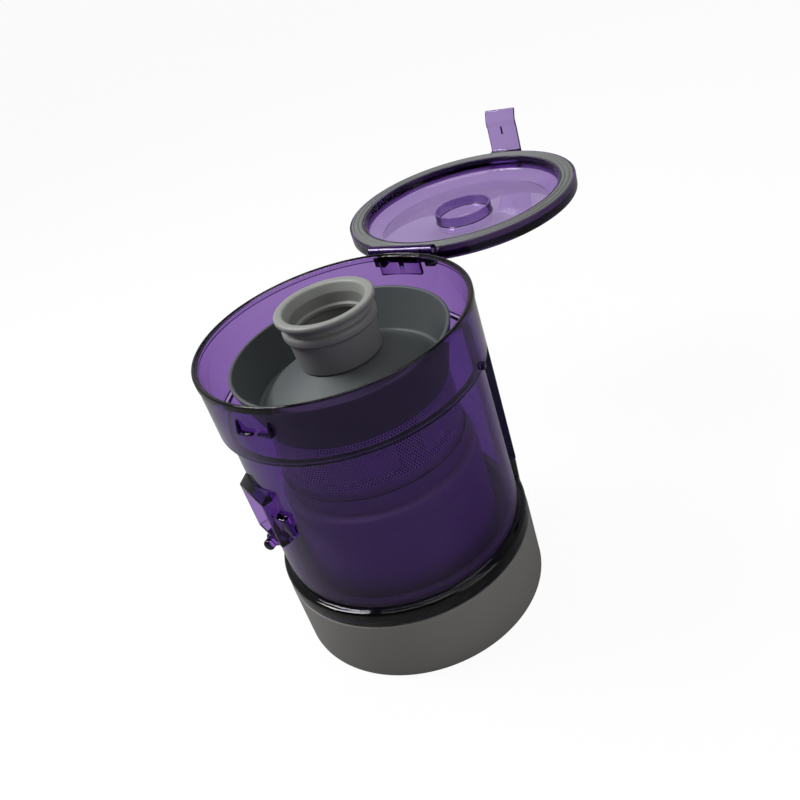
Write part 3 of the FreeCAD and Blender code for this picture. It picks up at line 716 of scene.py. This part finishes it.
def base():
    inner = SPIGOT_R
    groove = SPIGOT_R - SPIGOT_GROOVE
    shell = lathe("base", [
        (DECK_HOLE, DECK_UNDER, 0.3), (CHAMBER_R, DECK_UNDER, 0.3),
        (CHAMBER_R, CHAMBER_LOW, 0.4), (CHAMBER_OUTER, CHAMBER_LOW, 0.4),
        (CHAMBER_OUTER, DECK_UNDER, 0.4), (BASE_R - BASE_WALL, DECK_UNDER, 0.6),
        (BASE_R - BASE_WALL, 0.0, 0.4), (BASE_R, 0.0, 2.2),
        (BASE_R, BASE_TOP, 0.4), (inner, BASE_TOP, 0.2),
        (inner, DECK + 4.0, 0.1), (groove, DECK + 4.0, 0.1),
        (groove, DECK + 7.0, 0.1), (inner, DECK + 7.0, 0.1),
        (inner, SPIGOT_TOP, 0.6), (inner - SPIGOT_WALL, SPIGOT_TOP, 0.6),
        (inner - SPIGOT_WALL, DECK, 0.3), (DECK_HOLE, DECK, 0.3)])
    tongue = prism("tongue", RAIL_AZ, [
        (CUP_R + 0.4, DECK - 2, 0.0), (BASE_R, DECK - 2, 0.0), (CUP_R + 3.5, TONGUE_TOP, 0.8),
        (CUP_R + 0.4, TONGUE_TOP, 0.2)], RAIL_WIDTH, bevel=0.5)
    length = DECK_UNDER - CHAMBER_LOW + 0.3
    bosses = [bar("boss", BOSS_R, length, on_axis(BOSS_FROM_AXIS, angle, CHAMBER_LOW), (0, 0, 1))
              for angle in BOSS_ANGLES]
    return combine(shell, [tongue] + bosses, "UNION")


def base_painted_shade_look(centre):
    """1 for the tongue on the cup's rail, painted near-black as painted shade where it stands in shadow."""
    return int(centre.z > DECK + 0.2 and math.hypot(centre.x, centre.y) > CUP_R)


# The tongue takes the near-black material as painted shade.
dress(base(), [HOUSING, BLACK_SEAL_AND_PAINTED_SHADE], "bin", ["base_housing"], base_painted_shade_look)


# Cyclone body, tub and rubber collar

body = lathe("cyclone", [
    (BODY_R - BODY_WALL, DECK + 0.02, 0.2), (BODY_R, DECK + 0.02, 0.2), (BODY_R, SEAM - 0.2, 0.1),
    (BODY_R - 0.25, SEAM, 0.1), (BODY_R, SEAM + 0.2, 0.1), (BODY_R, BODY_TOP, 1.6),
    (BODY_HOLE, BODY_TOP, 0.2), (BODY_HOLE, BODY_TOP - BODY_TOP_WALL, 0.2),
    (BODY_R - BODY_WALL, BODY_TOP - BODY_TOP_WALL, 0.8)])
dress(body, [SHROUD], "bin", ["cyclone_body"])

tub = lathe("tub", [
    (NECK_R, BOOT_FOOT - TUB_WALL, 0.2), (CREASE_R, CREASE_Z - TUB_WALL, 1.0),
    (36.5, TUB_FLOOR - TUB_WALL, 0.4), (37.3, SCREEN_TOP, 0.2), (38.9, SCREEN_TOP, 0.4),
    (TUB_R, TUB_TOP, 0.7), (TUB_R - TUB_WALL, TUB_TOP, 0.7),
    (38.1, TUB_FLOOR, 1.2), (CREASE_R, CREASE_Z, 1.2), (NECK_R, BOOT_FOOT, 0.3)])
dress(tub, [TUB], "bin", ["shroud_skirt"])

boot = lathe("boot", [
    (NECK_R, BOOT_FOOT, 0.1), (16.8, BOOT_FOOT, 0.5), (17.3, BOOT_FOOT + 12.2, 1.2),
    (18.7, BOOT_FOOT + 13.2, 1.6), (18.7, BOOT_FOOT + 16.0, 1.6), (17.0, BOOT_FOOT + 17.0, 1.0),
    (17.0, BOOT_TOP - 2.9, 1.0), (BOOT_R, BOOT_TOP - 2.6, 1.1), (BOOT_R, BOOT_TOP, 1.3),
    (16.4, BOOT_TOP - 0.3, 1.6), (14.8, BOOT_TOP - 4.2, 1.5), (14.6, BOOT_TOP - 8.5, 0.8),
    (13.8, BOOT_TOP - 9.3, 0.5), (13.8, BOOT_TOP - 10.7, 0.5), (14.6, BOOT_TOP - 11.5, 0.8),
    (14.2, BOOT_FOOT + 6.8, 0.3), (NECK_R, BOOT_FOOT + 6.8, 0.1)], steps=6)
dress(boot, [COLLAR], "bin", ["cone_boot"])


# Perforated screen

def screen():
    """A thin sleeve with staggered round holes and plain edges."""
    radius = MESH_R - SCREEN_SKIN
    across = HOLES_ACROSS
    rows = HOLE_ROWS
    pitch = ROW_PITCH
    start = mesh_high.z - 0.8 - (rows - 1) * pitch
    turn = 2 * math.pi / across
    ring = [(0.5, 0), (0.5, 0.5), (0, 0.5), (-0.5, 0.5), (-0.5, 0), (-0.5, -0.5), (0, -0.5), (0.5, -0.5)]
    sides = len(ring)
    bm = bmesh.new()

    def at(column, height):
        return bm.verts.new((radius * math.cos(column * turn), radius * math.sin(column * turn), height))

    for row in range(rows):
        middle = start + row * pitch
        for column in range(across):
            centre = column + (0.5 if row % 2 else 0.0)
            outer = [at(centre + u, middle + v * pitch) for u, v in ring]
            inner = []
            for step in range(sides):
                angle = 2 * math.pi / sides * step
                inner.append(at(centre + HOLE_R * math.cos(angle) / (radius * turn),
                                middle + HOLE_R * math.sin(angle)))
            for k in range(sides):
                j = (k + 1) % sides
                bm.faces.new([outer[k], outer[j], inner[j], inner[k]])
    low_edge = start - pitch / 2
    high_edge = start + (rows - 0.5) * pitch
    for bottom, top in ((mesh_low.z + SCREEN_SKIN, low_edge), (high_edge, mesh_high.z - SCREEN_SKIN)):
        for half in range(2 * across):
            a, b = half / 2, (half + 1) / 2
            bm.faces.new([at(a, bottom), at(b, bottom), at(b, top), at(a, top)])
    item = keep("screen", bm, 60)
    wall = item.modifiers.new("wall", "SOLIDIFY")
    wall.thickness = SCREEN_SKIN * MM
    wall.offset = 0
    return item


def screen_look(centre):
    """1 for the plain band under the holes, which looks darker."""
    return int(centre.z < mesh_low.z + 4.5)


dress(screen(), [MESH, SHROUD], "bin", ["mesh_screen"], screen_look)


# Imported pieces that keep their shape

def carry(name, look):
    item = nodes[name]
    item.data.materials.clear()
    item.data.materials.append(look)


for name in ("vortex_finder", "cyclone_cone", "filter_frame"):
    carry(name, SHROUD)
# The screen frame keeps a shroud grey below the screen's foot and is near-black above it as painted shade
# seen through the holes.
carry("screen_frame", by_height("shroud_foot_and_painted_shade", mesh_low.z, (0.30, 0.28, 0.31), (0.035, 0.03, 0.04)))
carry("filter_grille", HOUSING)
carry("cup_seal", BLACK_SEAL_AND_PAINTED_SHADE)
carry("filter_seal", BLACK_SEAL_AND_PAINTED_SHADE)
carry("filter_foam", FOAM)
carry("filter_pleats", PLEAT)
for name in ("finder_screws", "base_screws", "grille_screws"):
    carry(name, STEEL)


# Camera, fitted to the photographed circles: angles in radians, lengths in millimetres

SENSOR = 36.0
LENS = 37.88
AZIMUTH = math.radians(38.7)
ELEVATION = 0.552
ROLL = -0.322
DISTANCE = 5.791 * MOUTH_R
SHIFT_RIGHT = 0.480 * MOUTH_R
SHIFT_UP = -0.535 * MOUTH_R
AIM = Vector((0, 0, RIM - 0.6))


def camera():
    data = bpy.data.cameras.new("camera")
    item = bpy.data.objects.new("camera", data)
    bpy.context.scene.collection.objects.link(item)
    bpy.context.scene.camera = item
    data.sensor_width = SENSOR
    data.lens = LENS
    back = Vector((math.sin(AZIMUTH) * math.cos(ELEVATION), -math.cos(AZIMUTH) * math.cos(ELEVATION),
                   math.sin(ELEVATION)))
    level = Vector((math.cos(AZIMUTH), math.sin(AZIMUTH), 0))
    rise = back.cross(level)
    right = math.cos(ROLL) * level + math.sin(ROLL) * rise
    up = math.cos(ROLL) * rise - math.sin(ROLL) * level
    eye = back * DISTANCE + right * SHIFT_RIGHT + up * SHIFT_UP + AIM
    turn = Matrix((right, up, back)).transposed().to_4x4()
    item.matrix_world = Matrix.Translation(eye * MM) @ turn
    data.clip_start = 0.01
    data.clip_end = 200
    return right, up, back


right, up, back = camera()


# Light: powers in watts, lengths in metres

KEY_POWER = 9.0
FILL_POWER = 1.6
TOP_POWER = 3.0
STUDIO_STRENGTH = 0.55
BRIGHT_SIDE = (-0.53, 0.66, -0.53)
FLOOR_DROP = 0.0002
FLOOR_R = 60000
FLOOR_SHADE = 0.28
FLOOR_SEEN = 0.8
FLOOR_GLOW = 0.95


def area(name, place, target, size, power):
    data = bpy.data.lights.new(name, "AREA")
    data.shape = "RECTANGLE"
    data.size, data.size_y = size
    data.energy = power
    item = bpy.data.objects.new(name, data)
    bpy.context.scene.collection.objects.link(item)
    item.location = place
    item.rotation_mode = "QUATERNION"
    item.rotation_quaternion = (Vector(place) - Vector(target)).to_track_quat("Z", "Y")
    return item


middle = Vector((0, 0.02, 0.09))
area("key", middle - right * 0.75 + up * 0.55 + back * 0.25, middle, (0.35, 0.35), KEY_POWER)
area("fill", middle + back * 0.6 + right * 0.5 + up * 0.1, middle, (0.5, 0.6), FILL_POWER)
area("top", middle + Vector((0, 0, 0.8)), middle, (0.5, 0.5), TOP_POWER)


def seen_as_white(tree):
    """1 for what the camera sees directly or through clear plastic."""
    path = tree.nodes.new("ShaderNodeLightPath")
    seen = node(tree, "ShaderNodeMath")
    seen.operation = "MAXIMUM"
    tree.links.new(path.outputs["Is Camera Ray"], seen.inputs[0])
    tree.links.new(path.outputs["Is Transmission Ray"], seen.inputs[1])
    return seen


def world():
    """White behind the object and through it, and a softer, uneven studio in its reflections."""
    item = bpy.data.worlds.new("studio")
    bpy.context.scene.world = item
    item.use_nodes = True
    tree = item.node_tree
    for old in list(tree.nodes):
        tree.nodes.remove(old)
    place = tree.nodes.new("ShaderNodeTexCoord")
    toward = tree.nodes.new("ShaderNodeVectorMath")
    toward.operation = "DOT_PRODUCT"
    toward.inputs[1].default_value = BRIGHT_SIDE
    tree.links.new(place.outputs["Generated"], toward.inputs[0])
    spread = tree.nodes.new("ShaderNodeMapRange")
    spread.inputs["From Min"].default_value = -0.6
    spread.inputs["From Max"].default_value = 0.7
    spread.inputs["To Min"].default_value = 0.16
    spread.inputs["To Max"].default_value = 1.0
    tree.links.new(toward.outputs["Value"], spread.inputs["Value"])
    soft = node(tree, "ShaderNodeBackground", Strength=STUDIO_STRENGTH)
    tree.links.new(spread.outputs["Result"], soft.inputs["Color"])
    white = node(tree, "ShaderNodeBackground", Strength=1.0)
    white.inputs["Color"].default_value = (1, 1, 1, 1)
    seen = seen_as_white(tree)
    blend = tree.nodes.new("ShaderNodeMixShader")
    output = tree.nodes.new("ShaderNodeOutputWorld")
    tree.links.new(seen.outputs[0], blend.inputs["Fac"])
    tree.links.new(soft.outputs[0], blend.inputs[1])
    tree.links.new(white.outputs[0], blend.inputs[2])
    tree.links.new(blend.outputs[0], output.inputs["Surface"])


def ground():
    """A plain white floor that keeps a faint shadow of the bin."""
    bm = bmesh.new()
    bmesh.ops.create_circle(bm, cap_ends=True, segments=96, radius=FLOOR_R)
    item = keep("ground", bm)
    item.location.z = -FLOOR_DROP
    look, tree, shader = material("ground_white")
    path = tree.nodes.new("ShaderNodeLightPath")
    paleness = tree.nodes.new("ShaderNodeMapRange")
    paleness.inputs["To Min"].default_value = FLOOR_SHADE
    paleness.inputs["To Max"].default_value = FLOOR_SEEN
    tree.links.new(path.outputs["Is Camera Ray"], paleness.inputs["Value"])
    tree.links.new(paleness.outputs["Result"], shader.inputs["Base Color"])
    shader.inputs["Roughness"].default_value = 0.9
    shader.inputs["Specular IOR Level"].default_value = 0.1
    glow = node(tree, "ShaderNodeEmission", Strength=1.0)
    share = node(tree, "ShaderNodeMath")
    share.operation = "MULTIPLY"
    share.inputs[1].default_value = FLOOR_GLOW
    tree.links.new(seen_as_white(tree).outputs[0], share.inputs[0])
    blend = tree.nodes.new("ShaderNodeMixShader")
    output = next(n for n in tree.nodes if n.type == "OUTPUT_MATERIAL")
    tree.links.new(share.outputs[0], blend.inputs["Fac"])
    tree.links.new(shader.outputs[0], blend.inputs[1])
    tree.links.new(glow.outputs[0], blend.inputs[2])
    tree.links.new(blend.outputs[0], output.inputs["Surface"])
    item.data.materials.append(look)


ground()
world()
bpy.context.scene.view_settings.view_transform = "Standard"

bpy.context.view_layer.update()
